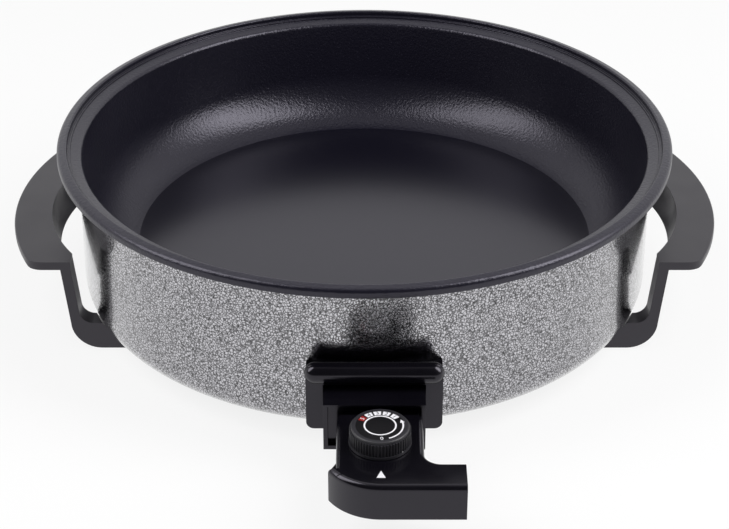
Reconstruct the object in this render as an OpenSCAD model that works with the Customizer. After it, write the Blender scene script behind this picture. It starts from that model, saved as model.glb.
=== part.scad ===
// Round electric party pan on moulded handles, with a plug-in thermostat.
// Millimetres, table at z = 0, thermostat towards -Y.
// Pieces are drawn around the pan's axis, then moved by place() so that the
// middle of the footprint is the origin.

/* [Pan] */
// Outside diameter of the rim
rim_d = 420; // [380:1:460]
// Depth from the top of the rim to the floor
pan_depth = 80; // [70:1:100]
// From the rim's edge in to the edge of the flat floor
floor_inset = 51; // [48:1:60]
// Slope with which the cove leaves the floor, in degrees
rise_a = 12; // [4:1:24]
// Radius of the cove between floor and wall
cove_r = 38; // [28:1:44]
// Thickness of the pan's wall
pan_wall = 2.4; // [1.6:0.1:2.6]
// Thickness of the pan's floor
floor_t = 4; // [3:0.5:6]
// Width of the raised lip on the rim
lip_w = 7; // [6:0.5:9]
// Height of the lip's turned-down edge
lip_h = 6.5; // [5.5:0.5:8]
// Fall of the lip's top towards its outer edge
lip_fall = 1.5; // [1:0.5:3]
// Thickness of the turned-down edge
lip_t = 2.2; // [1.6:0.1:2.4]
// Thickness of the rim under the lip
rim_t = 2.4; // [1.8:0.1:3]
// Rounding of the lip's outer corner
lip_round = 3; // [2:0.25:3.5]
// Depth of the lid seat below the rim's top
seat_drop = 3.5; // [2.5:0.5:5]
// Width of the lid seat
seat_w = 2; // [1.5:0.5:4]
// Step from the lid seat down to the ledge
ledge_drop = 1.3; // [0.5:0.1:2.5]
// Width of the sloping ledge inside the seat
ledge_w = 8; // [5:0.5:10]
// Fall of the ledge towards the pan
ledge_fall = 2; // [0.5:0.5:4]
// Rounding from the ledge into the wall
ledge_round = 3; // [2.8:0.2:5]

/* [Jacket and base] */
// Height of the base plate above the table
ground_gap = 10.2; // [9:0.1:16]
// Thickness of the base plate
base_t = 0.8; // [0.6:0.1:1.5]
// Height of the heater space over the base plate
heater_space = 30; // [28:0.5:36]
// Thickness of the jacket's sheet
skirt_t = 0.8; // [0.6:0.1:1.2]
// How much wider the jacket is at its bottom
skirt_flare = 1.2; // [0.4:0.2:3]
// Rounding of the jacket's bottom edge
skirt_round = 18; // [10:1:22]
// Width of the hem turned in under the jacket
hem_w = 9; // [6:0.5:12]
// Height of the pressed bead in the base plate
bead_h = 2.5; // [1:0.5:4]
// Radius of the pressed bead in the base plate
bead_r = 90; // [60:1:120]
// Diameter of the screws under the pan
screw_d = 4; // [3:0.5:5]
// Diameter of the bosses that take those screws
boss_d = 12; // [9:0.5:14]

/* [Heater] */
// Diameter of the heating tube
heater_d = 7; // [6:0.25:8.5]
// From the floor's edge in to the heating ring
heater_inset = 54; // [40:1:70]
// Radius of the tube's bends
heater_bend = 14; // [10:1:20]
// Distance between the two terminal pins
pin_pitch = 32; // [28:1:36]
// Diameter of the terminal pins
pin_d = 6; // [5:0.25:6.5]
// Outside diameter of the probe tube
probe_tube_d = 7; // [6.5:0.25:9]
// Diameter of the probe
probe_d = 5; // [4:0.25:5.5]
// How far the probe tube reaches under the floor
probe_reach = 76; // [50:1:95]
// Thickness of the clamp straps
strap_t = 1; // [0.8:0.1:1.5]
// Width of the clamp straps
strap_w = 12; // [8:0.5:16]
// Length of the straps' ears
strap_ear = 7.6; // [7:0.2:8]
// Diameter of the clamp studs
stud_d = 3.5; // [3:0.25:4]

/* [Handles] */
// Height of the grip's top over the table
grip_z = 68; // [60:1:80]
// How far the grip reaches beyond the rim
grip_reach = 34; // [28:1:45]
// Width of the grip at its middle
grip_w = 25.6; // [20:0.1:30]
// Thickness of the grip
grip_t = 6; // [4:0.5:9]
// Radius of the grip's outer edge
grip_outer_r = 179; // [150:1:240]
// Radius of the grip's inner edge
grip_inner_r = 127; // [115:1:150]
// Distance over both legs of a handle
handle_span = 167; // [150:1:190]
// Rounding of the grip's outer corners
grip_corner = 13; // [6:1:16]
// Rounding of the grip's long edges
grip_edge = 1.6; // [0.6:0.2:2.4]
// Height of the web below the grip's top
web_h = 24; // [14:1:30]
// Thickness of the web
web_t = 4; // [3:0.25:6]
// Lean of the web towards the pan, in degrees
web_lean = 10; // [0:1:14]
// Depth of the legs along the rim
leg_depth = 13; // [11:0.5:20]
// Width of the legs
leg_w = 7; // [6:0.1:10]
// From the rim's edge in to the outside of a leg's top
leg_inset = 6.5; // [4:0.5:10]
// Lean of the legs towards the pan over their height
leg_lean = 4.5; // [0:0.5:6]
// Height of the feet
foot_h = 20; // [16:0.5:26]
// Outer radius of the bend from leg to foot
foot_bend = 20; // [10:1:24]
// Inner radius of that bend
foot_fillet = 9; // [4:1:12]
// How far a foot runs on past its screw
foot_tail = 14; // [9:1:25]

/* [Socket] */
// Offset of the socket to the right of the pan's middle
socket_x = 6; // [-10:1:20]
// Width of the recess for the plug
recess_w = 63; // [58:0.5:66]
// Width of the guard beyond the recess, both sides together
guard_w = 21; // [17:0.5:33]
// Depth of the recess
recess_depth = 16; // [12:0.5:16.5]
// Height of the recess over the pins
recess_above = 19.8; // [18:0.2:24]
// Depth of the recess below the pins
recess_below = 8; // [7:0.5:9.5]
// Wall thickness of the socket
socket_wall = 3; // [2:0.25:3.5]
// How far the guard stands out from the jacket
guard_out = 13; // [11:0.5:20]
// Height of the guard below the recess
guard_below = 5; // [4:0.5:7]
// Rounding of the guard's lower corners
guard_round = 5; // [2:0.5:8]
// Radius of the rounded bar over the recess
bar_r = 6.75; // [5:0.25:8]
// How far the bar stands out over the guard
bar_over = 3; // [1:0.5:6]
// How far the bar's ends pass the guard's sides
bar_end = 0.9; // [0.5:0.1:2]
// Height of the earth pin over the terminal pins
earth_rise = 12; // [10:0.5:13]
// Width of the earth pin
earth_w = 8; // [5:0.5:10]
// Thickness of the earth pin
earth_t = 1.6; // [1:0.1:2]

/* [Thermostat] */
// Length of the plug's collar outside the guard
collar_out = 17; // [12:0.5:24]
// Side walls round the pocket in the collar's front
collar_wall = 2.8; // [2:0.2:4]
// Depth of that pocket
collar_pocket = 4; // [2:0.5:4.5]
// Height of the plug's collar over the pins
collar_above = 16.6; // [14.5:0.1:17.5]
// Depth of the collar below the pins
collar_below = 16.4; // [14:0.1:18]
// Wall around the contact sleeves
sleeve_t = 1.5; // [1:0.1:2]
// Height of the case over the pins
case_above = 9.6; // [9:0.1:11]
// Height of the case
case_h = 23.5; // [22:0.5:26]
// Wall thickness of the case
case_wall = 2.2; // [1.8:0.1:2.6]
// Thickness of the case's top
case_top_t = 2.4; // [2:0.1:3]
// Rounding of the case's top edges
case_round = 3.5; // [2:0.25:4]
// Width of the neck behind the knob
neck_w = 52; // [48:0.5:56]
// Offset of the neck and knob from the socket
neck_offset = 3.2; // [0:0.1:4]
// Distance from the collar to the knob's axis
knob_back = 27.5; // [25.5:0.5:34]
// Distance from the knob's axis to the front of the case
knob_front = 43.5; // [40:0.5:50]
// Radius of the rounded front corner
nose_r = 36; // [30:0.5:38]
// Reach of the side arm beyond the neck
arm_reach = 24; // [20:0.5:40]
// Width of the side arm
arm_w = 24; // [20:0.5:27]
// Fillet between the neck and the arm
arm_fillet = 10; // [5:0.5:12]
// Step out from the neck to the rounded corner
shoulder = 3.8; // [2:0.1:5]
// Radius of the cord inlet
inlet_r = 4.2; // [3:0.1:5]
// Length of the cord inlet
inlet_len = 6; // [4:0.5:9]
// Thickness of the bottom cover
cover_t = 2.4; // [1.8:0.1:3]
// Length of the case screws in their posts
post_grip = 8.5; // [6:0.5:9]
// Diameter of the small case screws
case_screw_d = 2.6; // [2.2:0.1:3]

/* [Knob] */
// Diameter over the knob's ribs
knob_d = 36.6; // [32:0.2:42]
// Diameter of the knob's smooth top
knob_top_d = 34.6; // [30:0.2:36]
// Height of the knob
knob_h = 11.6; // [9:0.2:15]
// Number of ribs
knob_ribs = 60; // [36:2:80]
// Depth of the ribs
rib_depth = 0.8; // [0.3:0.1:1]
// Diameter of the dial disc
dial_d = 29; // [24:0.2:30]
// Thickness of the dial disc
dial_t = 0.6; // [0.4:0.1:1]
// Diameter of the spindle
spindle_d = 6; // [5:0.25:7]
// Diameter of the cam under the case top
cam_d = 13; // [11:0.5:15]
// Lift of the cam over the knob's whole turn
cam_lift = 0.6; // [0.3:0.1:0.7]
// Diameter of the cam follower
follower_d = 3; // [2:0.25:4]

/* [Fits] */
// Gap between parts that lie against each other
seat_gap = 0.05; // [0.02:0.01:0.1]
// Radial clearance of sliding round parts
slide_fit = 0.08; // [0.05:0.01:0.1]
// Clearance around the plug in its recess
plug_fit = 0.4; // [0.3:0.05:0.6]
// Clearance of a strap around its tube
strap_fit = 0.25; // [0.2:0.05:0.4]
// Clearance between moulded parts and the jacket
wall_fit = 0.2; // [0.1:0.05:0.5]
// Clearance hole over a screw's diameter
hole_fit = 0.5; // [0.3:0.1:0.8]

/* [Hidden] */
$fn = 96;
eps = 0.01;
far = 600;

// Heights over the table
z_base = ground_gap;
z_hem = z_base + base_t;
z_under = z_hem + heater_space;
z_floor = z_under + floor_t;
z_rim = z_floor + pan_depth;
z_seat = z_rim - seat_drop;
z_ledge = z_seat - ledge_drop;
heater_z = z_under - seat_gap - heater_d / 2;
probe_z = z_under - seat_gap - probe_tube_d / 2;
pin_z = heater_z;

// Radii of the pan and its jacket
rim_r = rim_d / 2;
lip_in_r = rim_r - lip_w;
seat_r = lip_in_r - seat_w;
ledge_r = seat_r - ledge_w;
floor_r = rim_r - floor_inset;
skirt_top_z = z_ledge - ledge_fall - ledge_round;
skirt_top_r = ledge_r + pan_wall + wall_fit + skirt_t;
base_r = skirt_top_r + skirt_flare - skirt_round;
hem_r = base_r - hem_w;
heater_r = floor_r - heater_inset;

// Points on an arc, from one angle to another
function arc(c, r, a0, a1, steps) =
    [for (i = [0 : steps]) let (a = a0 + (a1 - a0) * i / steps) c + r * [cos(a), sin(a)]];

// Angle at which a line from p touches the circle at c
function touch_angle(p, c, r) = atan2(p[1] - c[1], p[0] - c[0]) - acos(r / norm(p - c));

// Section of the pan, from the axis outwards and back
cove_c = [floor_r, z_floor] + cove_r * [-sin(rise_a), cos(rise_a)];
edge_c = [ledge_r + ledge_round, skirt_top_z];
ledge_slope = atan(ledge_fall / ledge_w);
wall_touch = touch_angle([ledge_r, edge_c[1]], cove_c, cove_r);
pad_r = floor_r - 2 * pan_wall;
lip_small = lip_round / 2;
lip_in_c = [lip_in_r + lip_small, z_rim - lip_small];
lip_a = atan(lip_fall / lip_w);
lip_up = [sin(lip_a), cos(lip_a)];
lip_out = rim_r - lip_round;
lip_c = [lip_out, (lip_up * lip_in_c + lip_small - lip_round - lip_up[0] * lip_out) / lip_up[1]];
lip_under = rim_r - lip_t;
pan_underside = concat(
    [[0, z_under], [pad_r, z_under]],
    arc(cove_c, cove_r + pan_wall, rise_a - 90, wall_touch, 12),
    arc(edge_c, ledge_round - pan_wall, 180, 90 + ledge_slope, 4),
    [[seat_r + pan_wall, z_ledge - pan_wall],
     [seat_r + pan_wall, z_seat - pan_wall],
     [lip_in_r + pan_wall, z_seat - pan_wall],
     [lip_in_r + pan_wall, z_rim - rim_t],
     [lip_under, z_rim - rim_t - lip_fall * (lip_under - lip_in_r - pan_wall) / lip_w],
     [lip_under, z_rim - lip_h]]);
pan_topside = concat(
    [[rim_r, z_rim - lip_h]],
    arc(lip_c, lip_round, 0, 90 - lip_a, 6),
    arc(lip_in_c, lip_small, 90 - lip_a, 180, 5),
    [[lip_in_r, z_seat], [seat_r, z_seat], [seat_r, z_ledge]],
    arc(edge_c, ledge_round, 90 + ledge_slope, 180, 6),
    arc(cove_c, cove_r, wall_touch, rise_a - 90, 14),
    [[0, z_floor]]);

// Section of the jacket
skirt_c = [base_r, z_hem + skirt_round];
skirt_top = [skirt_top_r, skirt_top_z];
skirt_touch = touch_angle(skirt_top, skirt_c, skirt_round);
skirt_foot = skirt_c + skirt_round * [cos(skirt_touch), sin(skirt_touch)];
function skirt_r(z) =
    skirt_foot[0] + (skirt_top_r - skirt_foot[0]) * (z - skirt_foot[1]) / (skirt_top_z - skirt_foot[1]);
function skirt_outline(grow) = concat(
    [[skirt_top_r + grow, skirt_top_z]],
    arc(skirt_c, skirt_round + grow, skirt_touch, -90, 8));

// Screws under the pan
leg_mid_y = (handle_span - leg_depth) / 2;
boss_ring = hem_r - boss_d / 2 - 7;
boss_x = sqrt(boss_ring * boss_ring - leg_mid_y * leg_mid_y);
boss_at = [for (sx = [-1, 1], sy = [-1, 1]) [sx * boss_x, sy * leg_mid_y]];
boss_top = z_floor - floor_t / 4;
screw_grip = 18;
head_d = screw_d * 2;
foot_sink = 6;

// Centres of the grip's two edges
grip_low = grip_z - grip_t;
grip_outer_x = rim_r + grip_reach - grip_outer_r;
grip_inner_x = rim_r + grip_reach - grip_w - grip_inner_r;
web_drop = web_h - grip_t + 1;

// Clamps: heater straps stand across the ring, the probe strap across its tube
heater_clamp_angles = [0, 90, 180];
stud_len = strap_t + 4;
nut_d = stud_d * 2;
nut_h = stud_d * 0.8;

// Socket and plug, as distances in front of the pan's axis
guard_front = skirt_r(pin_z) + guard_out;
recess_back = guard_front - recess_depth;
box_back = recess_back - socket_wall;
recess_low = pin_z - recess_below;
recess_top = pin_z + recess_above;
guard_low = recess_low - guard_below;
bar_z = recess_top + bar_r - 0.5;
pin_x = [socket_x - pin_pitch / 2, socket_x + pin_pitch / 2];
pin_tip = guard_front - 1.5;
pin_root = box_back - 4;
flange_t = 1.5;
bush_d = pin_d + 3;
bush_flange_d = bush_d + 3;
earth_z = pin_z + earth_rise;
guard_half = (recess_w + guard_w) / 2;
cheek_screw_x = recess_w / 2 + guard_w / 4 + 1.5;
cheek_screw_d = 3;
cheek_screw_len = 8;
cheek_screw_z = pin_z + 8;
probe_end = box_back - probe_reach;

// Thermostat
collar_back = guard_front + plug_fit;
collar_front = guard_front + collar_out;
case_top = pin_z + case_above;
case_low = case_top - case_h;
case_roof = case_top - case_top_t;
knob_x = socket_x + neck_offset;
knob_y = collar_front + knob_back;
case_front = knob_y + knob_front;
neck_left = knob_x - neck_w / 2;
neck_right = knob_x + neck_w / 2;
arm_end = neck_right + arm_reach;
arm_back = case_front - arm_w;
arm_mid = case_front - arm_w / 2;
nose_c = [neck_left - shoulder + 0.85 * nose_r, case_front - nose_r];
shoulder_y = nose_c[1] + 0.5 * nose_r;
cover_low = case_low + 0.3;
cover_top = cover_low + cover_t;
spigot_len = 10;
sleeve_d = pin_d + 2 * slide_fit + 2 * sleeve_t;
sleeve_len = 27;
sleeve_start = recess_back + plug_fit + 1;
probe_root = collar_front + spigot_len + 2;
probe_tip = probe_end + 6;
inlet_z = case_low + case_h / 2;
post_d = case_screw_d + 4;
post_in = case_wall + post_d / 2 + 0.5;
cover_posts = [[neck_left + 1.5 * post_in, shoulder_y - 1], [neck_right - post_in, arm_mid],
               [neck_right - post_in, probe_root + post_d]];
clamp_x = arm_end - inlet_len - 5;
clamp_posts = [[clamp_x, arm_mid - 7], [clamp_x, arm_mid + 7]];
clamp_t = 2.5;
clamp_w = 7;
clamp_z = inlet_z - inlet_r;
bar_len = arm_w - 2 * case_wall - 1;

// Switch parts in the case
block_l = 7;
block_w = 14;
block_y = probe_root + 1.5;
block_low = cover_top + 2;
blade_t = 0.5;
blade_w = 8;
guide_t = 1;
fixed_z = block_low + 1.5;
moving_z = fixed_z + 3;
cam_top = case_roof - 0.4;
cam_t = 2.4;
cam_steps = 6;
turn = 235;
cam_ring = cam_d / 2 - follower_d / 2 - 0.3;
follower_top = cam_top - cam_t - 0.45;
follower_low = moving_z + blade_t + cam_lift + 0.3;
guide_z = (follower_top + follower_low) / 2 - guide_t / 2 - cam_lift / 2;
follower_head = follower_d + 1;
contact_d = 3.6;
contact_h = 0.8;
contact_y = knob_y + cam_ring + 8;

// Knob
knob_gap = 0.4;
knob_low = case_top + knob_gap;
knob_top = knob_low + knob_h;
spindle_in_knob = knob_h - 3;

// Middle of the footprint, in front of the pan's axis
origin_y = (case_front - rim_r) / 2;

// Moves a piece from the pan's axis to the footprint's middle
module place() {
    translate([0, origin_y, 0]) children();
}

// Box between two corners
module block(low, high) {
    translate(low) cube(high - low);
}

// Rod along -Y between two distances from the pan's axis
module rod_y(x, z, d, near, reach) {
    translate([x, -near, z]) rotate([90, 0, 0]) cylinder(d = d, h = reach - near);
}

// Upright rod
module rod_z(at, d, low, high) {
    translate([at[0], at[1], low]) cylinder(d = d, h = high - low);
}

// Screw pointing up, with a rounded head under the surface at z
module pan_head_screw(at, d, z, length) {
    rod_z(at, d, z - eps, z + length);
    translate([at[0], at[1], z]) rotate_extrude() intersection() {
        translate([0, -0.6 * d]) square([d, 0.6 * d]);
        scale(d) translate([0, 0.35]) circle(1.05);
    }
}

// Places its children at each clamp: on the ring, or over the probe tube
module at_heater_clamps() {
    for (a = heater_clamp_angles) rotate(a) translate([heater_r, 0, z_under]) children();
}

module at_probe_clip() {
    translate([socket_x, -(probe_end + strap_w), z_under]) children();
}

// Strap over a tube of diameter d that lies under z = 0, along Y
module strap(d) {
    inner = d / 2 + strap_fit;
    outer = inner + strap_t;
    drop = -seat_gap - d / 2;
    rotate([90, 0, 0]) translate([0, 0, -strap_w / 2]) difference() {
        linear_extrude(strap_w) difference() {
            union() {
                translate([0, drop]) circle(outer);
                translate([-outer, drop]) square([2 * outer, -drop]);
                translate([-outer - strap_ear, -strap_t - seat_gap]) square([2 * (outer + strap_ear), strap_t]);
            }
            translate([0, drop]) circle(inner);
            translate([-inner, drop]) square([2 * inner, far]);
            translate([-far / 2, -seat_gap]) square([far, far]);
        }
        for (s = [-1, 1])
            translate([s * (outer + strap_ear / 2), 0, strap_w / 2]) rotate([90, 0, 0])
                cylinder(d = stud_d + 0.2, h = far, center = true);
    }
}

// Studs that stand under the floor through a strap's ears
module strap_studs(d, extra) {
    for (s = [-1, 1])
        translate([s * (d / 2 + strap_fit + strap_t + strap_ear / 2), 0, -stud_len])
            cylinder(d = stud_d + extra, h = stud_len + 1);
}

module strap_nuts(d) {
    for (s = [-1, 1])
        translate([s * (d / 2 + strap_fit + strap_t + strap_ear / 2), 0, -strap_t - 2 * seat_gap - nut_h])
            difference() {
                cylinder(d = nut_d, h = nut_h, $fn = 6);
                translate([0, 0, -1]) cylinder(d = stud_d + 0.1, h = nut_h + 2);
            }
}

// Drawn pan with its lid seat, and the studs and bosses under the floor
module pan() {
    color("#222127") difference() {
        union() {
            rotate_extrude($fn = 180) polygon(concat(pan_underside, pan_topside));
            for (b = boss_at) rod_z(b, boss_d, z_hem, boss_top);
            rod_z([0, 0], boss_d, z_hem, z_under + 1);
            at_heater_clamps() strap_studs(heater_d, 0);
            at_probe_clip() strap_studs(probe_tube_d, 0);
        }
        for (b = concat(boss_at, [[0, 0]])) rod_z(b, screw_d + 0.1, z_hem - 1, z_hem + screw_grip + 1);
    }
}

// Painted jacket with a hem under it and a window for the socket
module outer_skirt() {
    window = recess_w / 2 + socket_wall + wall_fit;
    color("#8f8e91") difference() {
        rotate_extrude($fn = 180) polygon(concat(
            skirt_outline(0),
            [[hem_r, z_hem], [hem_r, z_hem + skirt_t]],
            arc(skirt_c, skirt_round - skirt_t, -90, skirt_touch, 8),
            [[skirt_top_r - skirt_t, skirt_top_z]]));
        block([socket_x - window, -far, recess_low - socket_wall - wall_fit],
              [socket_x + window, -box_back / 2, recess_top + socket_wall + wall_fit]);
        for (s = [-1, 1])
            rod_y(socket_x + s * cheek_screw_x, cheek_screw_z, cheek_screw_d + hole_fit, box_back / 2, far);
    }
}

// Sheet base with a pressed bead, screw holes for the feet and one in the middle
module base_plate() {
    rim = base_r - 1;
    line = [[0, z_base], [bead_r, z_base], [bead_r + 2 * bead_h, z_base + bead_h],
            [bead_r + 6 * bead_h, z_base + bead_h], [bead_r + 8 * bead_h, z_base], [rim, z_base]];
    upper = [for (i = [len(line) - 1 : -1 : 0]) line[i] + [0, base_t]];
    color("#3a3a3c") difference() {
        rotate_extrude($fn = 180) polygon(concat(line, upper));
        for (b = concat(boss_at, [[0, 0]])) rod_z(b, screw_d + hole_fit, z_base - 1, z_hem + 1);
    }
}

module base_screw() {
    color("#b9bbbd") pan_head_screw([0, 0], screw_d, z_base - seat_gap, screw_grip);
}

// Heating ring under the floor, with both ends led to the socket
module heating_element() {
    color("#77756f") translate([0, 0, heater_z]) {
        bends = [for (s = [-1, 1])
            let (x = socket_x + s * (pin_pitch / 2 + heater_bend), r = heater_r + heater_bend)
            [x, -sqrt(r * r - x * x)]];
        left = atan2(bends[0][1], bends[0][0]) + 360;
        right = atan2(bends[1][1], bends[1][0]);
        bend_d = heater_d + 0.04;
        into = 0.1;
        rotate(right - into) rotate_extrude(angle = left - right + 2 * into, $fn = 180)
            translate([heater_r, 0]) circle(d = heater_d);
        translate(bends[0]) rotate_extrude(angle = left - 180) translate([heater_bend, 0]) circle(d = bend_d);
        translate(bends[1]) rotate(180 + right) rotate_extrude(angle = -right)
            translate([heater_bend, 0]) circle(d = bend_d);
        for (i = [0, 1]) rod_y(pin_x[i], 0, heater_d, -bends[i][1] - into, pin_root);
    }
}

module heater_clamps() {
    color("#a9abad") at_heater_clamps() strap(heater_d);
}

module clamp_nuts() {
    color("#b9bbbd") {
        at_heater_clamps() strap_nuts(heater_d);
        at_probe_clip() strap_nuts(probe_tube_d);
    }
}

// Plug pins on the ends of the heating tube
module terminal_pins() {
    color("#c9c6bd") for (x = pin_x) {
        rod_y(x, pin_z, pin_d, pin_root, pin_tip - pin_d / 2);
        translate([x, -(pin_tip - pin_d / 2), pin_z]) sphere(d = pin_d);
    }
}

// Ceramic bushes that carry the pins through the socket's back wall
module pin_insulators() {
    color("#efe9dc") for (x = pin_x) difference() {
        union() {
            rod_y(x, pin_z, bush_d, box_back - flange_t - seat_gap, recess_back);
            rod_y(x, pin_z, bush_flange_d, box_back - flange_t - seat_gap, box_back - seat_gap);
        }
        rod_y(x, pin_z, pin_d + 2 * seat_gap, 0, far);
    }
}

// Closed tube under the floor that takes the probe
module probe_tube() {
    color("#a9abad") difference() {
        rod_y(socket_x, probe_z, probe_tube_d, probe_end, box_back - seat_gap);
        rod_y(socket_x, probe_z, probe_d + 2 * slide_fit, probe_end + 2, far);
    }
}

module probe_clip() {
    color("#a9abad") at_probe_clip() strap(probe_tube_d);
}

// Flat earth pin, held by its cross piece behind the wall
module earth_pin() {
    root = box_back - flange_t - seat_gap;
    color("#c8a85a") {
        block([socket_x - earth_w / 2, -pin_tip + 2, earth_z - earth_t / 2],
              [socket_x + earth_w / 2, -root, earth_z + earth_t / 2]);
        block([socket_x - earth_w, -box_back + seat_gap, earth_z - earth_t / 2],
              [socket_x + earth_w, -root, earth_z + earth_t / 2]);
    }
}

// Front outline of the guard below its bar
module guard_outline() {
    low_half = guard_half - guard_round;
    translate([-guard_half, guard_low + guard_round])
        square([2 * guard_half, bar_z - guard_low - guard_round]);
    translate([-low_half, guard_low]) square([2 * low_half, 2 * guard_round]);
    for (s = [-1, 1]) translate([s * low_half, guard_low + guard_round]) circle(guard_round);
}

// Moulded socket: guard with a rounded bar outside, box through the jacket
module socket_housing() {
    wide = recess_w / 2 + socket_wall;
    bar_y = guard_front + bar_over - bar_r;
    bar_half = guard_half + bar_end - bar_r;
    color("#17161b") difference() {
        union() {
            difference() {
                translate([socket_x, 0, 0]) {
                    translate([0, -box_back, 0]) rotate([90, 0, 0])
                        linear_extrude(guard_front - box_back) guard_outline();
                    translate([0, -bar_y, bar_z]) {
                        rotate([0, 90, 0]) cylinder(r = bar_r, h = 2 * bar_half, center = true);
                        for (s = [-1, 1]) translate([s * bar_half, 0, 0]) sphere(bar_r);
                    }
                }
                jacket_room(wall_fit);
            }
            block([socket_x - wide, -guard_front + 1, recess_low - socket_wall],
                  [socket_x + wide, -box_back, recess_top + socket_wall]);
        }
        block([socket_x - recess_w / 2, -far, recess_low], [socket_x + recess_w / 2, -recess_back, recess_top]);
        for (x = pin_x) rod_y(x, pin_z, bush_d + 2 * seat_gap, box_back / 2, far);
        rod_y(socket_x, probe_z, probe_d + 1, box_back / 2, far);
        block([socket_x - earth_w / 2 - seat_gap, -far, earth_z - earth_t / 2 - seat_gap],
              [socket_x + earth_w / 2 + seat_gap, -box_back / 2, earth_z + earth_t / 2 + seat_gap]);
        for (s = [-1, 1]) cheek_screw(s, 0.1);
    }
}

// Solid of revolution that fills the jacket, grown by a clearance
module jacket_room(grow) {
    rotate_extrude($fn = 180) polygon(concat(
        skirt_outline(grow), [[0, z_hem - grow], [0, skirt_top_z]]));
}

// Screw from inside the jacket into one cheek of the guard
module cheek_screw(side, extra) {
    x = socket_x + side * cheek_screw_x;
    wall = sqrt(pow(skirt_r(cheek_screw_z), 2) - x * x);
    head_y = sqrt(pow(skirt_r(cheek_screw_z - cheek_screw_d) - skirt_t, 2) - pow(abs(x) + cheek_screw_d, 2)) - seat_gap;
    rod_y(x, cheek_screw_z, cheek_screw_d + extra, head_y - eps, wall + cheek_screw_len + 10 * extra);
    if (extra == 0) rod_y(x, cheek_screw_z, 2 * cheek_screw_d, head_y - 0.6 * cheek_screw_d, head_y);
}

module socket_screws() {
    color("#b9bbbd") for (s = [-1, 1]) cheek_screw(s, 0);
}

// Inside of a leg at height z
function leg_inner(z) = rim_r - leg_inset - leg_w - leg_lean * (grip_z - z) / (grip_z - foot_h);

// Crescent of the grip seen from above, on the +X side
module grip_outline() {
    half = handle_span / 2;
    corner_y = half - grip_corner;
    run = grip_outer_r - grip_corner;
    corner = [grip_outer_x + sqrt(run * run - corner_y * corner_y), corner_y];
    turn_in = atan2(corner_y, corner[0] - grip_outer_x);
    difference() {
        intersection() {
            translate([grip_outer_x, 0]) circle(grip_outer_r, $fn = 180);
            translate([leg_inner(grip_low), -half]) square([far, handle_span]);
        }
        translate([grip_inner_x, 0]) circle(grip_inner_r, $fn = 180);
        for (s = [0, 1]) mirror([0, s]) polygon(concat(
            arc(corner, grip_corner, turn_in - 4, 94, 12), [corner + [0, far], corner + [far, far], corner + [far, 0]]));
    }
}

// Outline of a leg and its foot, drawn in X and Z
module leg_outline() {
    low_out = leg_inner(foot_h) + leg_w;
    bend_c = [low_out - foot_bend, foot_bend];
    tail = boss_x - foot_tail;
    lean = atan(leg_lean / (grip_z - foot_h));
    fillet_c = [leg_inner(foot_h + foot_fillet) - foot_fillet / cos(lean), foot_h + foot_fillet];
    top = grip_low + grip_t / 3;
    polygon(concat(
        [[leg_inner(top), top], [leg_inner(top) + leg_w, top]],
        arc(bend_c, foot_bend, 0, -90, 12),
        [[tail, 0], [tail, foot_h]],
        arc(fillet_c, foot_fillet, -90, -lean, 8)));
}

// Handle on the +X side: crescent grip, leaning web, and two legs that turn under the pan
module handle() {
    lean = web_h * tan(web_lean);
    soft = grip_edge;
    difference() {
        union() {
            intersection() {
                translate([0, 0, grip_low]) linear_extrude(grip_t) grip_outline();
                translate([grip_outer_x, 0, grip_low]) rotate_extrude($fn = 180) polygon([
                    [0, -1], [grip_outer_r - 2.1 * soft, -1], [grip_outer_r - 0.3 * soft, 0.3 * soft],
                    [grip_outer_r + 0.3 * soft, 1.6 * soft], [grip_outer_r + 0.3 * soft, grip_t - 1.6 * soft],
                    [grip_outer_r - 0.3 * soft, grip_t - 0.3 * soft], [grip_outer_r - 2.1 * soft, grip_t + 1],
                    [0, grip_t + 1]]);
            }
            intersection() {
                translate([grip_inner_x, 0, grip_low + 1]) rotate_extrude($fn = 180) polygon([
                    [grip_inner_r, 0], [grip_inner_r + web_t, 0],
                    [grip_inner_r + web_t - lean, -web_drop], [grip_inner_r - lean, -web_drop]]);
                block([leg_inner(grip_low), -leg_mid_y, 0], [far, leg_mid_y, grip_z]);
            }
            for (s = [-1, 1]) translate([0, s * leg_mid_y + leg_depth / 2, 0])
                rotate([90, 0, 0]) linear_extrude(leg_depth) leg_outline();
        }
        jacket_room(wall_fit + base_t);
        for (s = [-1, 1]) {
            rod_z([boss_x, s * leg_mid_y], screw_d + hole_fit, -1, far);
            rod_z([boss_x, s * leg_mid_y], head_d + 1, -1, foot_sink);
        }
    }
}

module handle_left() {
    color("#3a393d") mirror([1, 0, 0]) handle();
}

module handle_right() {
    color("#3a393d") handle();
}

module foot_screws() {
    color("#b9bbbd") for (b = boss_at)
        pan_head_screw(b, screw_d, foot_sink - seat_gap, z_hem + screw_grip - foot_sink);
}

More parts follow.
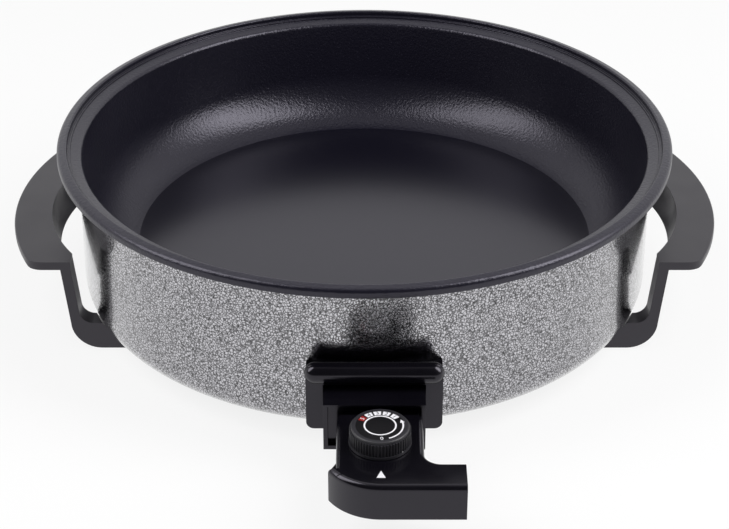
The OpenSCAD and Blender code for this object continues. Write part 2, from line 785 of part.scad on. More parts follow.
// Moulded plug: part that enters the recess, collar with a pocket in front, and spigot in the case's neck
module plug_block() {
    half = recess_w / 2 - plug_fit;
    spigot = neck_w / 2 - case_wall - 0.3;
    pocket = half - collar_wall;
    pocket_top = pin_z + collar_above - collar_wall / 2;
    color("#131217") difference() {
        union() {
            block([socket_x - half, -collar_back - 1, recess_low + plug_fit],
                  [socket_x + half, -recess_back - plug_fit, pin_z + collar_above]);
            difference() {
                block([socket_x - half, -collar_front, pin_z - collar_below],
                      [socket_x + half, -collar_back, pin_z + collar_above]);
                block([socket_x - pocket, -collar_front - 1, pin_z - collar_below + collar_wall],
                      [socket_x + pocket, -collar_front + collar_pocket, pocket_top]);
            }
            block([knob_x - spigot, -collar_front - spigot_len, cover_top + seat_gap],
                  [knob_x + spigot, -collar_front + collar_pocket + 1, case_roof - seat_gap]);
        }
        for (x = pin_x) rod_y(x, pin_z, sleeve_d + 2 * seat_gap, 0, sleeve_start + sleeve_len + seat_gap);
        rod_y(socket_x, probe_z, probe_d + 2 * seat_gap, 0, far);
        block([socket_x - earth_w / 2 - 1, -guard_front - 6, earth_z - 2],
              [socket_x + earth_w / 2 + 1, 0, earth_z + 2]);
        rod_z([cover_posts[2][0], -cover_posts[2][1]], post_d + 0.4, 0, far);
    }
}

// Sleeves that slide over the pins
module contact_sleeves() {
    color("#c8a85a") for (x = pin_x) difference() {
        rod_y(x, pin_z, sleeve_d, sleeve_start, sleeve_start + sleeve_len);
        rod_y(x, pin_z, pin_d + 2 * slide_fit, 0, pin_tip + 3);
    }
}

// Spring clip in the plug that grips the earth pin
module earth_clip() {
    wide = earth_w / 2 + 1 - seat_gap;
    tall = 2 - seat_gap;
    slot = earth_t / 2 + 0.3;
    color("#c8a85a") difference() {
        block([socket_x - wide, -guard_front - 6 + seat_gap, earth_z - tall],
              [socket_x + wide, -recess_back - plug_fit - 2, earth_z + tall]);
        block([socket_x - far, -pin_tip + 1, earth_z - slot], [socket_x + far, 0, earth_z + slot]);
    }
}

// Probe with a round tip
module probe_rod() {
    color("#c4c6c8") {
        rod_y(socket_x, probe_z, probe_d, probe_tip + probe_d / 2, probe_root);
        translate([socket_x, -probe_tip - probe_d / 2, probe_z]) sphere(d = probe_d);
    }
}

// Plan of the case, drawn inset by a wall
module case_plan(inset) {
    translate([neck_left + inset, -arm_mid]) square([neck_w - 2 * inset, arm_mid - collar_front - inset]);
    translate([nose_c[0], -case_front + inset]) square([arm_end - nose_c[0] - inset, arm_w - 2 * inset]);
    intersection() {
        translate([nose_c[0], -nose_c[1]]) circle(nose_r - inset);
        translate([-far, -shoulder_y - far - inset]) square([far + nose_c[0] + eps, far]);
    }
    translate([neck_left + inset, -shoulder_y - 1 - inset]) square([nose_c[0] - neck_left, 2 + shoulder_y - nose_c[1]]);
}

// Rounded upper edge on a bar of width w and height h, drawn upright
module bar_section(w, h) {
    square([w, h - case_round]);
    translate([case_round, 0]) square([w - 2 * case_round, h]);
    for (x = [case_round, w - case_round]) translate([x, h - case_round]) circle(case_round);
}

// Outer form of the case: neck, round corner, side arm, and the blends between them
module case_form() {
    translate([neck_left, -collar_front, case_low]) rotate([90, 0, 0])
        linear_extrude(arm_mid - collar_front) bar_section(neck_w, case_h);
    translate([nose_c[0], -case_front, case_low]) rotate([90, 0, 90])
        linear_extrude(arm_end - nose_c[0]) bar_section(arm_w, case_h);
    intersection() {
        translate([nose_c[0], -nose_c[1], case_low]) rotate_extrude($fn = 180) {
            square([nose_r, case_h - case_round]);
            square([nose_r - case_round, case_h]);
            translate([nose_r - case_round, case_h - case_round]) circle(case_round);
        }
        block([-far, -far, 0], [nose_c[0] + eps, -shoulder_y, far]);
    }
    shoulder_x = nose_c[0] - sqrt(nose_r * nose_r - pow(shoulder_y - nose_c[1], 2));
    translate([0, 0, case_low]) linear_extrude(case_h - case_round)
        polygon([[neck_left + 1, -shoulder_y + 9], [neck_left, -shoulder_y + 9],
                 [shoulder_x, -shoulder_y], [neck_left + 1, -shoulder_y]]);
    translate([neck_right + arm_fillet, -arm_back + arm_fillet, case_low]) rotate(180)
        rotate_extrude(angle = 90) translate([arm_fillet, 0]) arm_blend();
}

// Section of the blend in the corner between neck and arm
module arm_blend() {
    deep = arm_fillet * (sqrt(2) - 1) + case_round;
    square([deep, case_h - case_round]);
    translate([case_round, 0]) square([deep - case_round, case_h]);
    translate([case_round, case_h - case_round]) circle(case_round);
}

// Upper case of the thermostat, open below
module thermostat_case() {
    color("#131217") difference() {
        union() {
            difference() {
                case_form();
                translate([0, 0, case_low - 1]) linear_extrude(case_roof - case_low + 1) difference() {
                    case_plan(case_wall);
                    translate([arm_end - inlet_len, -far]) square([far, far]);
                }
                block([neck_left + case_wall, -collar_front - case_wall - 1, case_low - 1],
                      [neck_right - case_wall, -collar_front + 1, case_roof]);
            }
            for (p = cover_posts) rod_z([p[0], -p[1]], post_d, cover_top + seat_gap, case_roof + 1);
            for (p = clamp_posts) rod_z([p[0], -p[1]], post_d, clamp_z + seat_gap, case_roof + 1);
        }
        for (p = cover_posts) rod_z([p[0], -p[1]], case_screw_d + 0.1, 0, case_roof - 1);
        for (p = clamp_posts) rod_z([p[0], -p[1]], case_screw_d + 0.1, 0, case_roof - 1);
        rod_z([knob_x, -knob_y], spindle_d + 2 * slide_fit, case_low, far);
        translate([arm_end - inlet_len - 1, -arm_mid, inlet_z]) rotate([0, 90, 0]) cylinder(r = inlet_r, h = far);
    }
}

// Bottom cover, let into the case
module thermostat_cover() {
    color("#131217") difference() {
        translate([0, 0, cover_low]) linear_extrude(cover_t) difference() {
            case_plan(case_wall + 0.2);
            translate([arm_end - inlet_len - 0.2, -far]) square([far, far]);
        }
        for (p = cover_posts) rod_z([p[0], -p[1]], case_screw_d + hole_fit, 0, far);
    }
}

module cover_screws() {
    color("#b9bbbd") for (p = cover_posts)
        pan_head_screw([p[0], -p[1]], case_screw_d, cover_low - seat_gap, cover_t + post_grip);
}

// Ceramic block under the case's roof that holds the switch's strips
module contact_block() {
    color("#efe9dc") difference() {
        block([knob_x - block_w / 2, -block_y - block_l, block_low], [knob_x + block_w / 2, -block_y, case_roof - seat_gap]);
        for (strip = [[fixed_z, blade_t], [moving_z, blade_t], [guide_z, guide_t]])
            block([knob_x - blade_w / 2 - seat_gap, -far, strip[0] - seat_gap],
                  [knob_x + blade_w / 2 + seat_gap, 0, strip[0] + strip[1] + seat_gap]);
    }
}

// Strip that starts in the contact block and runs under the cam
module strip(z, t, reach) {
    block([knob_x - blade_w / 2, -reach, z], [knob_x + blade_w / 2, -block_y - 0.5, z + t]);
}

module guide_strip() {
    color("#a9abad") difference() {
        strip(guide_z, guide_t, knob_y + cam_ring + 4);
        rod_z([knob_x, -knob_y - cam_ring], follower_d + 2 * slide_fit, 0, far);
    }
}

module moving_blade() {
    color("#c8a85a") {
        strip(moving_z, blade_t, contact_y + 3);
        rod_z([knob_x, -contact_y], contact_d, moving_z - contact_h, moving_z + eps);
    }
}

module fixed_blade() {
    color("#c8a85a") {
        strip(fixed_z, blade_t, contact_y + 3);
        rod_z([knob_x, -contact_y], contact_d, fixed_z + blade_t - eps, fixed_z + blade_t + contact_h);
    }
}

// Bar that clamps the cord's end in the arm
module cord_clamp() {
    color("#2b2a2e") difference() {
        block([clamp_x - clamp_w / 2, -arm_mid - bar_len / 2, clamp_z - clamp_t],
              [clamp_x + clamp_w / 2, -arm_mid + bar_len / 2, clamp_z]);
        for (p = clamp_posts) rod_z([p[0], -p[1]], case_screw_d + hole_fit, 0, far);
    }
}

module cord_clamp_screws() {
    color("#b9bbbd") for (p = clamp_posts)
        pan_head_screw([p[0], -p[1]], case_screw_d, clamp_z - clamp_t - seat_gap, clamp_t + post_grip);
}

// Ceramic pin between the cam and the moving blade
module cam_follower() {
    color("#efe9dc") {
        rod_z([knob_x, -knob_y - cam_ring], follower_d, follower_low, follower_top);
        rod_z([knob_x, -knob_y - cam_ring], follower_head, guide_z + guide_t + cam_lift + 0.3, follower_top);
    }
}

// Outline of the ribbed grip, one notch between each pair of ribs
module rib_outline() {
    r = knob_d / 2;
    step = 360 / knob_ribs;
    polygon([for (i = [0 : knob_ribs - 1], k = [0, 1, 2, 3])
        (r - (k == 0 || k == 3 ? rib_depth : 0)) * [cos(step * (i + k / 4)), sin(step * (i + k / 4))]]);
}

// Knob: smooth foot, ribbed side, rounded top with a seat for the dial
module control_knob() {
    foot_h = 1.6;
    top_h = 1.8;
    soft = 1;
    color("#1a191e") translate([knob_x, -knob_y, knob_low]) difference() {
        union() {
            cylinder(d = knob_d + 1, h = foot_h);
            translate([0, 0, foot_h - eps]) linear_extrude(knob_h - foot_h - top_h) rib_outline();
            translate([0, 0, knob_h - top_h - eps]) rotate_extrude() {
                square([knob_top_d / 2, top_h - soft]);
                square([knob_top_d / 2 - soft, top_h]);
                translate([knob_top_d / 2 - soft, top_h - soft]) circle(soft);
            }
        }
        translate([0, 0, knob_h - dial_t]) cylinder(d = dial_d + 2 * seat_gap, h = far);
        translate([0, 0, -1]) cylinder(d = spindle_d + 2 * seat_gap, h = spindle_in_knob + 1);
    }
}

module dial_disc() {
    color("#0d0c10") translate([knob_x, -knob_y, knob_top - dial_t + seat_gap]) cylinder(d = dial_d, h = dial_t - seat_gap);
}

// Spindle with a face cam: each layer of its ramp starts one step later
module spindle() {
    step = turn / cam_steps;
    layer = cam_lift / cam_steps;
    color("#b9bbbd") translate([knob_x, -knob_y, 0]) {
        rod_z([0, 0], spindle_d, cam_top - cam_t, knob_low + spindle_in_knob - seat_gap);
        rod_z([0, 0], cam_d, cam_top - cam_t, cam_top);
        for (i = [1 : cam_steps])
            translate([0, 0, cam_top - cam_t - i * layer]) linear_extrude(i * layer + 0.5)
                polygon(concat([[0, 0]], arc([0, 0], cam_d / 2 - 0.1 * i, step * (i - 0.5) - 90, turn - 70 - 2 * i, 16)));
    }
}

place() pan();
place() outer_skirt();
place() base_plate();
place() base_screw();
place() heating_element();
place() heater_clamps();
place() clamp_nuts();
place() terminal_pins();
place() pin_insulators();
place() probe_tube();
place() probe_clip();
place() earth_pin();
place() socket_housing();
place() socket_screws();
place() handle_left();
place() handle_right();
place() foot_screws();
place() plug_block();
place() contact_sleeves();
place() earth_clip();
place() probe_rod();
place() thermostat_case();
place() thermostat_cover();
place() cover_screws();
place() contact_block();
place() guide_strip();
place() moving_blade();
place() fixed_blade();
place() cord_clamp();
place() cord_clamp_screws();
place() cam_follower();
place() control_knob();
place() dial_disc();
place() spindle();
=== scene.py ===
from math import cos, pi, radians, sin, tan

import bmesh
import bpy
from mathutils import Matrix, Vector


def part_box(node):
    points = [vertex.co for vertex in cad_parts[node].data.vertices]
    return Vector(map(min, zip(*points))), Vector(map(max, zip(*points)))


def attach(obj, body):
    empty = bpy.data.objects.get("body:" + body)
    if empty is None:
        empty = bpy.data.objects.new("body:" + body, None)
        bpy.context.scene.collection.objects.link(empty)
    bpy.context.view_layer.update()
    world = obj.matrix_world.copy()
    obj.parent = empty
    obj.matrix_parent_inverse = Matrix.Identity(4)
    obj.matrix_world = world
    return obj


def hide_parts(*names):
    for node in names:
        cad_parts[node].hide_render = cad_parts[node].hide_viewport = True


# Round electric party pan with moulded handles and a plug-in thermostat
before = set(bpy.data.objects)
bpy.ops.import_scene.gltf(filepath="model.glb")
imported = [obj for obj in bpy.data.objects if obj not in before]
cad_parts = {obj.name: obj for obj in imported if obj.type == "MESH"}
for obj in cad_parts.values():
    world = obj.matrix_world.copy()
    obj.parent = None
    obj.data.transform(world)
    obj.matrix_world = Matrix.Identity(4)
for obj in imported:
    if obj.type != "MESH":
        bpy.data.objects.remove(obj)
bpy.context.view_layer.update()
mm = 0.001
weld = 1e-6  # points nearer than this, in metres, are one
panLow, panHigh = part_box("pan")
axisY = (panLow.y + panHigh.y) / 2  # the pan's axis stands behind the origin
print("frame loaded, pan axis at y =", round(axisY, 5))


def srgb(code):
    parts = [int(code[i:i + 2], 16) / 255 for i in (1, 3, 5)]
    return [c / 12.92 if c <= 0.04045 else ((c + 0.055) / 1.055) ** 2.4 for c in parts] + [1.0]


def addNode(tree, kind, settings={}, links={}):
    node = tree.nodes.new("ShaderNode" + kind)
    for name, value in settings.items():
        if isinstance(name, int) or name in node.inputs:
            node.inputs[name].default_value = value
        else:
            setattr(node, name, value)
    for name, source in links.items():
        tree.links.new(source, node.inputs[name])
    return node


def startMaterial(name, settings):
    material = bpy.data.materials.new(name)
    material.use_nodes = True
    tree = material.node_tree
    tree.nodes.clear()
    surface = addNode(tree, "BsdfPrincipled", settings)
    addNode(tree, "OutputMaterial", links={"Surface": surface.outputs[0]})
    where = addNode(tree, "TexCoord").outputs["Object"]
    return material, tree, surface, where


# what the plain finishes share: size of the patches in which they wander and depth of their grain, in mm, and the
# middle of the noise, which is spread over the range of roughness
wander = {"patch": 28, "depth": 0.1, "middle": (0.3, 0.7)}


def grainFinish(name, settings, colours, grain, bump, roughness):
    # fine grain in millimetres, two close colours, and roughness that wanders over the piece
    material, tree, surface, where = startMaterial(name, settings)
    fine = addNode(tree, "TexNoise", {"Scale": 1 / (grain * mm), "Detail": 3.0}, {"Vector": where})
    broad = addNode(tree, "TexNoise", {"Scale": 1 / (wander["patch"] * mm), "Detail": 2.0}, {"Vector": where})
    tint = addNode(tree, "Mix", {"data_type": "RGBA", 6: srgb(colours[0]), 7: srgb(colours[1])},
                   {0: broad.outputs["Fac"]})
    gloss = addNode(tree, "MapRange", {"From Min": wander["middle"][0], "From Max": wander["middle"][1],
                                       "To Min": roughness[0], "To Max": roughness[1]},
                    {"Value": broad.outputs["Fac"]})
    relief = addNode(tree, "Bump", {"Strength": bump, "Distance": wander["depth"] * mm},
                     {"Height": fine.outputs["Fac"]})
    tree.links.new(tint.outputs[2], surface.inputs["Base Color"])
    tree.links.new(gloss.outputs[0], surface.inputs["Roughness"])
    tree.links.new(relief.outputs[0], surface.inputs["Normal"])
    return material


# sprayed fluoropolymer coating on aluminium: near black with a violet cast, satin, with an orange-peel grain on the
# walls that is drawn at 1.8 mm, coarser than it is, so that it shows; the floor is smoother
coating = {
    "ior": 1.55, "tint": "#f1edfd", "speckSpacing": 1.6, "speckEdge": (0.08, 0.2), "speckShare": 0.6,
    # the walls' deep and speck colours are drawn lighter than the floor's, though the coating is the same: painted
    # sheen that stands in for the light the walls catch
    "walls": {"deep": "#12111c", "speck": "#2d2c38", "grain": 1.8, "bump": 1.0, "depth": 0.28, "roughness": 0.3},
    "floor": {"deep": "#0e0d17", "speck": "#171620", "grain": 2.0, "bump": 0.12, "depth": 0.16, "roughness": 0.22},
}


def makeNonStick(name, c, area):
    material, tree, surface, where = startMaterial(name, {
        "Roughness": area["roughness"], "IOR": c["ior"], "Specular Tint": srgb(c["tint"])})
    grain = addNode(tree, "TexNoise", {"Scale": 1 / (area["grain"] * mm), "Detail": 2.0}, {"Vector": where})
    specks = addNode(tree, "TexVoronoi", {"Scale": 1 / (c["speckSpacing"] * area["grain"] * mm)}, {"Vector": where})
    spots = addNode(tree, "MapRange", {"From Min": c["speckEdge"][0], "From Max": c["speckEdge"][1],
                                       "To Min": c["speckShare"], "To Max": 0.0},
                    {"Value": specks.outputs["Distance"]})
    tint = addNode(tree, "Mix", {"data_type": "RGBA", 6: srgb(area["deep"]), 7: srgb(area["speck"])},
                   {0: spots.outputs[0]})
    relief = addNode(tree, "Bump", {"Strength": area["bump"], "Distance": area["depth"] * mm},
                     {"Height": grain.outputs["Fac"]})
    tree.links.new(tint.outputs[2], surface.inputs["Base Color"])
    tree.links.new(relief.outputs[0], surface.inputs["Normal"])
    return material


# hammer-finish enamel: leafing pigment gathers into pale cells with dark seams under a glossy clear skin; the cells
# are drawn at 1.8 mm, coarser than they are, so that they show; warp and mottle are counted in cells
hammer = {"seam": "#0e0e10", "pale": "#cac9ce", "cell": 1.8, "seamWidth": 0.21, "warp": 1.6, "warpShift": 1.4,
          "mottle": 0.5, "mottleEdge": (0.35, 0.45), "bump": 0.15, "depth": 0.25, "roughness": 0.14,
          "metallic": 1.0, "coat": 0.9, "coatRoughness": 0.1}


def makeHammered(h):
    cell = h["cell"] * mm
    material, tree, surface, where = startMaterial("hammeredEnamel", {
        "Roughness": h["roughness"], "Metallic": h["metallic"], "Coat Weight": h["coat"],
        "Coat Roughness": h["coatRoughness"]})
    warp = addNode(tree, "TexNoise", {"Scale": 1 / (h["warp"] * cell), "Detail": 3.0}, {"Vector": where})
    shift = addNode(tree, "VectorMath", {"operation": "SCALE", "Scale": h["warpShift"] * cell},
                    {0: warp.outputs["Color"]})
    place = addNode(tree, "VectorMath", {"operation": "ADD"}, {0: where, 1: shift.outputs[0]})
    cells = addNode(tree, "TexVoronoi", {"feature": "DISTANCE_TO_EDGE", "Scale": 1 / cell},
                    {"Vector": place.outputs[0]})
    fine = addNode(tree, "TexNoise", {"Scale": 1 / (h["mottle"] * cell), "Detail": 2.0}, {"Vector": where})
    seams = addNode(tree, "MapRange", {"From Min": 0.0, "From Max": h["seamWidth"]},
                    {"Value": cells.outputs["Distance"]})
    mottle = addNode(tree, "MapRange", {"From Min": h["mottleEdge"][0], "From Max": h["mottleEdge"][1]},
                     {"Value": fine.outputs["Fac"]})
    body = addNode(tree, "Math", {"operation": "MULTIPLY"}, {0: seams.outputs[0], 1: mottle.outputs[0]})
    tint = addNode(tree, "Mix", {"data_type": "RGBA", 6: srgb(h["seam"]), 7: srgb(h["pale"])},
                   {0: body.outputs[0]})
    relief = addNode(tree, "Bump", {"Strength": h["bump"], "Distance": h["depth"] * mm}, {"Height": body.outputs[0]})
    tree.links.new(tint.outputs[2], surface.inputs["Base Color"])
    tree.links.new(relief.outputs[0], surface.inputs["Normal"])
    return material


nonStick = makeNonStick("sprayedNonStick", coating, coating["walls"])
smoothNonStick = makeNonStick("smoothNonStick", coating, coating["floor"])
hammered = makeHammered(hammer)
# compression-moulded phenolic, left satin from the tool
satinPhenolic = grainFinish("satinPhenolic", {"IOR": 1.58, "Specular Tint": srgb("#f6f1fd")},
                            ("#161519", "#1d1c20"), grain=0.7, bump=0.25, roughness=(0.3, 0.4))
# phenolic from a polished tool, with a faint ripple in its gloss
glossPhenolic = grainFinish("glossPhenolic", {"IOR": 1.5, "Specular Tint": srgb("#f3eefd")},
                            ("#08070c", "#0d0c12"), grain=2.5, bump=0.06, roughness=(0.16, 0.24))
# the same phenolic on the dial, blasted to a satin; its grey is lighter than the phenolic's own black, painted sheen
# that stands in for the light its ribs catch
sheenPaintedKnobPhenolic = grainFinish("knobPhenolicPaintedSheen", {"IOR": 1.55}, ("#242328", "#2b2a2f"),
                           grain=0.8, bump=0.15, roughness=(0.38, 0.48))
# zinc-plated steel, bright but a little uneven
zincSteel = grainFinish("zincPlatedSteel", {"Metallic": 1.0}, ("#b3b5b7", "#c6c7c6"),
                        grain=0.5, bump=0.15, roughness=(0.28, 0.42))
# nickel plating on pins and probe, smooth and slightly warm
nickelPlate = grainFinish("nickelPlate", {"Metallic": 1.0}, ("#c3bfb5", "#d0ccc3"),
                          grain=0.6, bump=0.06, roughness=(0.18, 0.26))
# plain drawn brass, a little tarnished
drawnBrass = grainFinish("drawnBrass", {"Metallic": 1.0}, ("#b8923f", "#caa65a"),
                         grain=0.5, bump=0.1, roughness=(0.26, 0.4))
# unglazed steatite: chalky, off-white
steatite = grainFinish("unglazedSteatite", {}, ("#e3dccb", "#efe9da"), grain=0.6, bump=0.3, roughness=(0.6, 0.75))
# heat-stained alloy sheath of the heating tube, dull and brownish
heatedSheath = grainFinish("heatStainedSheath", {"Metallic": 0.9}, ("#5c574f", "#766e62"),
                           grain=0.5, bump=0.25, roughness=(0.45, 0.6))
# black stoving paint on the base sheet, satin with a light texture
stovedPaint = grainFinish("stovedPaint", {}, ("#2a2a2c", "#333335"), grain=1.2, bump=0.25, roughness=(0.42, 0.55))
# printed plastic disc of the dial, satin, and the matt inks on it
dialPlastic = grainFinish("printedDialPlastic", {}, ("#0c0b0e", "#100f12"), grain=0.6, bump=0.1, roughness=(0.3, 0.4))
whiteInk = grainFinish("whiteScreenInk", {}, ("#e9e8ee", "#f2f1f5"), grain=0.4, bump=0.12, roughness=(0.45, 0.55))
redInk = grainFinish("redScreenInk", {}, ("#8d1512", "#a01a15"), grain=0.4, bump=0.12, roughness=(0.45, 0.55))
blackInk = grainFinish("blackScreenInk", {}, ("#17161a", "#1e1d21"), grain=0.4, bump=0.12, roughness=(0.45, 0.55))
print("materials made")


def finishPiece(bm, name, material, body, stands=(), crease=35, even=False):
    mesh = bpy.data.meshes.new(name)
    bm.to_mesh(mesh)
    bm.free()
    mesh.polygons.foreach_set("use_smooth", [True] * len(mesh.polygons))
    mesh.set_sharp_from_angle(angle=radians(crease))
    mesh.materials.append(material)
    piece = bpy.data.objects.new(name, mesh)
    bpy.context.scene.collection.objects.link(piece)
    if even:
        piece.modifiers.new("evenNormals", "WEIGHTED_NORMAL").keep_sharp = True
    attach(piece, body)
    if stands:
        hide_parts(*stands)
    print("made", name, len(mesh.polygons), "faces")
    return piece


def roundedLine(bm, corners, facet=6):
    # a section drawn through a few corners, each with its own radius; one facet of a round turns by 6 degrees
    spots = [Vector((r * mm, axisY, z * mm)) for r, z, soft in corners]
    verts = [bm.verts.new(p) for p in spots]
    for pair in zip(verts, verts[1:]):
        bm.edges.new(pair)
    for i, corner in enumerate(corners):
        soft = corner[2]
        if soft:
            bend = (spots[i - 1] - spots[i]).angle(spots[i + 1] - spots[i])
            bmesh.ops.bevel(bm, geom=[verts[i]], offset=soft * mm / tan(bend / 2), offset_type="OFFSET",
                            affect="VERTICES", segments=max(3, int((pi - bend) / radians(facet))), profile=0.5,
                            material=-1)


def spinRound(bm, steps):
    bmesh.ops.spin(bm, geom=bm.verts[:] + bm.edges[:], cent=(0, axisY, 0), axis=(0, 0, 1), angle=2 * pi,
                   steps=steps, use_merge=True)
    bmesh.ops.remove_doubles(bm, verts=bm.verts, dist=weld)
    bmesh.ops.recalc_face_normals(bm, faces=bm.faces)


# bowl: floor, cove, leaning wall, ledge, lid seat and turned-down lip; radius, height and rounding in mm; the
# smoother coating ends at the floor's radius
bowl = {"steps": 256, "section": [
    (0, 41, 0), (154.2, 41, 0), (188.03, 48.72, 38), (195.6, 115.6, 1), (203.4, 117.8, 0), (203.4, 119.1, 0),
    (205.4, 119.1, 0), (205.4, 122.6, 0), (207.8, 122.09, 0), (207.8, 118.5, 0.5), (210, 118.5, 0.5),
    (210, 123.86, 3), (203, 125.355, 1.5), (203, 121.5, 0.4), (201, 121.5, 0.5), (201, 120.2, 0.4),
    (193.34, 118.25, 3), (185.84, 50.705, 37.6), (159, 45, 0), (158, 45, 0), (0, 45, 0)], "floor": 159.1}


def makeBowl(b):
    bm = bmesh.new()
    roundedLine(bm, b["section"])
    spinRound(bm, b["steps"])
    for f in bm.faces:
        centre = f.calc_center_median() - Vector((0, axisY, 0))
        looksUp = f.normal.z > 0.5
        if looksUp and centre.xy.length < b["floor"] * mm:
            f.material_index = 1
    piece = finishPiece(bm, "coatedBowl", nonStick, "base", ["pan"])
    piece.data.materials.append(smoothNonStick)


# jacket: hem, rounded bottom edge and leaning side, in mm; the socket's window is cut in the faces of its front
jacket = {"steps": 256, "sheet": 0.8, "section": [(170.6, 11, 0), (197.85, 11, 18), (196.4, 115.2, 0)],
          "window": {"x": (-28.7, 40.7), "z": (26.25, 60.45)}, "front": {"half": 60, "from": 150}}


def makeJacket(j):
    bm = bmesh.new()
    roundedLine(bm, j["section"])
    spinRound(bm, j["steps"])
    (x0, x1), (z0, z1) = j["window"]["x"], j["window"]["z"]
    frontY = axisY - j["front"]["from"] * mm
    cuts = [((x0, 0, 0), (1, 0, 0)), ((x1, 0, 0), (1, 0, 0)), ((0, 0, z0), (0, 0, 1)), ((0, 0, z1), (0, 0, 1))]
    for point, normal in cuts:
        front = [f for f in bm.faces if f.calc_center_median().y < frontY
                 and abs(f.calc_center_median().x) < j["front"]["half"] * mm]
        geom = list({v for f in front for v in f.verts}) + list({e for f in front for e in f.edges}) + front
        bmesh.ops.bisect_plane(bm, geom=geom, dist=weld / 10, plane_co=Vector(point) * mm, plane_no=normal)
    inside = [f for f in bm.faces if f.calc_center_median().y < frontY
              and x0 < f.calc_center_median().x / mm < x1 and z0 < f.calc_center_median().z / mm < z1]
    bmesh.ops.delete(bm, geom=inside, context="FACES")
    bmesh.ops.solidify(bm, geom=bm.faces[:], thickness=j["sheet"] * mm)
    finishPiece(bm, "hammeredJacket", hammered, "base", ["outer_skirt"])


dialLow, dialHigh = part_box("dial_disc")
knobAxis = ((dialLow + dialHigh) / 2).xy
# easing of moulded edges: angles in degrees, the band under the top and the ring kept clear round the dial in mm
easing = {"flat": 0.2, "sharp": 32, "segments": 3,
          "crest": 60, "crestBand": 0.05, "crestSegments": 4, "dialClear": 13}


def softCopy(node, edge, rim, e):
    # a CAD solid with its triangles joined to flat faces, the rim of its top rounded and its sharp edges eased
    bm = bmesh.new()
    bm.from_mesh(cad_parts[node].data)
    bmesh.ops.remove_doubles(bm, verts=bm.verts, dist=2 * weld)
    bmesh.ops.dissolve_limit(bm, angle_limit=radians(e["flat"]), verts=bm.verts, edges=bm.edges)
    if rim:
        top = max(v.co.z for v in bm.verts)
        crest = [line for line in bm.edges if line.is_manifold and line.calc_face_angle() > radians(e["crest"])
                 and min(v.co.z for v in line.verts) > top - e["crestBand"] * mm
                 and (line.verts[0].co.xy - knobAxis).length > e["dialClear"] * mm]
        bmesh.ops.bevel(bm, geom=crest, offset=rim * mm, offset_type="OFFSET", affect="EDGES",
                        segments=e["crestSegments"], profile=0.5, material=-1, clamp_overlap=True)
    if edge:
        sharp = [line for line in bm.edges if line.is_manifold and line.calc_face_angle() > radians(e["sharp"])]
        bmesh.ops.bevel(bm, geom=sharp, offset=edge * mm, offset_type="OFFSET", affect="EDGES",
                        segments=e["segments"], profile=0.5, material=-1, clamp_overlap=True)
    return bm


# moulded and pressed pieces: node, name, finish, body, slot, eased edge and rounded top rim in mm, crease in degrees
eased = [
    ("handle_left", "leftHandle", satinPhenolic, "base", "handle_bakelite", 1.5, 0, 35),
    ("handle_right", "rightHandle", satinPhenolic, "base", "handle_bakelite", 1.5, 0, 35),
    ("socket_housing", "socketGuard", glossPhenolic, "base", "gloss_bakelite", 0.7, 0, 35),
    ("plug_block", "plugBlock", glossPhenolic, "thermostat", "gloss_bakelite", 0.6, 0, 35),
    ("thermostat_case", "thermostatCase", glossPhenolic, "thermostat", "gloss_bakelite", 0.5, 1.6, 35),
    ("thermostat_cover", "thermostatCover", glossPhenolic, "thermostat", "gloss_bakelite", 0.3, 0, 35),
    ("control_knob", "ribbedKnob", sheenPaintedKnobPhenolic, "knob", "gloss_bakelite", 0, 0, 15),
    ("dial_disc", "dialDisc", dialPlastic, "knob", "dial_face", 0, 0, 35),
    ("base_plate", "basePlate", stovedPaint, "base", "base_paint", 0, 0, 35),
]
# pieces kept as solids, with their finish
plain = {
    zincSteel: ["base_screw", "heater_clamps", "clamp_nuts", "probe_tube", "probe_clip", "socket_screws",
                "foot_screws", "cover_screws", "guide_strip", "cord_clamp_screws", "spindle"],
    nickelPlate: ["terminal_pins", "probe_rod"],
    drawnBrass: ["earth_pin", "contact_sleeves", "earth_clip", "moving_blade", "fixed_blade"],
    steatite: ["pin_insulators", "contact_block", "cam_follower"],
    heatedSheath: ["heating_element"],
    satinPhenolic: ["cord_clamp"],
}

makeBowl(bowl)
makeJacket(jacket)
for node, name, material, body, slotName, edge, rim, crease in eased:
    finishPiece(softCopy(node, edge, rim, easing), name, material, body, [node], crease, even=True)
for material, nodes in plain.items():
    for node in nodes:
        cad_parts[node].data.materials.clear()
        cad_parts[node].data.materials.append(material)
print("solids kept with their finish:", sum(len(nodes) for nodes in plain.values()))

# dial print: ring, five number fields, a direction arrow and the zero; sizes in mm, angles from +X in degrees
dial = {"x": knobAxis.x, "y": knobAxis.y, "z": dialHigh.z, "rise": 0.03, "digitRise": 0.06, "step": 4,
        "ring": (8.8, 9.8), "fields": (10.5, 14.1), "fieldAngles": [46, 72, 97, 122, 147], "fieldTurn": 20,
        "arrow": (13.1, 14.1), "arrowAngles": (-68, 12), "arrowHead": (12.1, 15.0, 26), "zero": (12.6, -86),
        "font": 4.0}


def dialSpot(radius, angle, rise):
    turn = radians(angle)
    return Vector((dial["x"] + radius * mm * cos(turn), dial["y"] + radius * mm * sin(turn), dial["z"] + rise * mm))


def dialStrip(bm, inner, outer, start, end):
    a, b = [bm.verts.new(dialSpot(r, start, dial["rise"])) for r in (inner, outer)]
    sweep = end - start
    bmesh.ops.spin(bm, geom=[a, b, bm.edges.new((a, b))], cent=(dial["x"], dial["y"], a.co.z), axis=(0, 0, 1),
                   angle=radians(sweep), steps=max(4, int(sweep / dial["step"])), use_merge=sweep == 360)


def dialText(bm, words, radius, angle, rise):
    curve = bpy.data.curves.new("digit", "FONT")
    curve.body, curve.size, curve.align_x, curve.align_y = words, dial["font"] * mm, "CENTER", "CENTER"
    holder = bpy.data.objects.new("digit", curve)
    bpy.context.scene.collection.objects.link(holder)
    flat = bpy.data.meshes.new_from_object(holder.evaluated_get(bpy.context.evaluated_depsgraph_get()))
    flat.transform(Matrix.Translation(dialSpot(radius, angle, rise)) @ Matrix.Rotation(radians(angle - 90), 4, "Z"))
    bm.from_mesh(flat)
    bpy.data.objects.remove(holder)


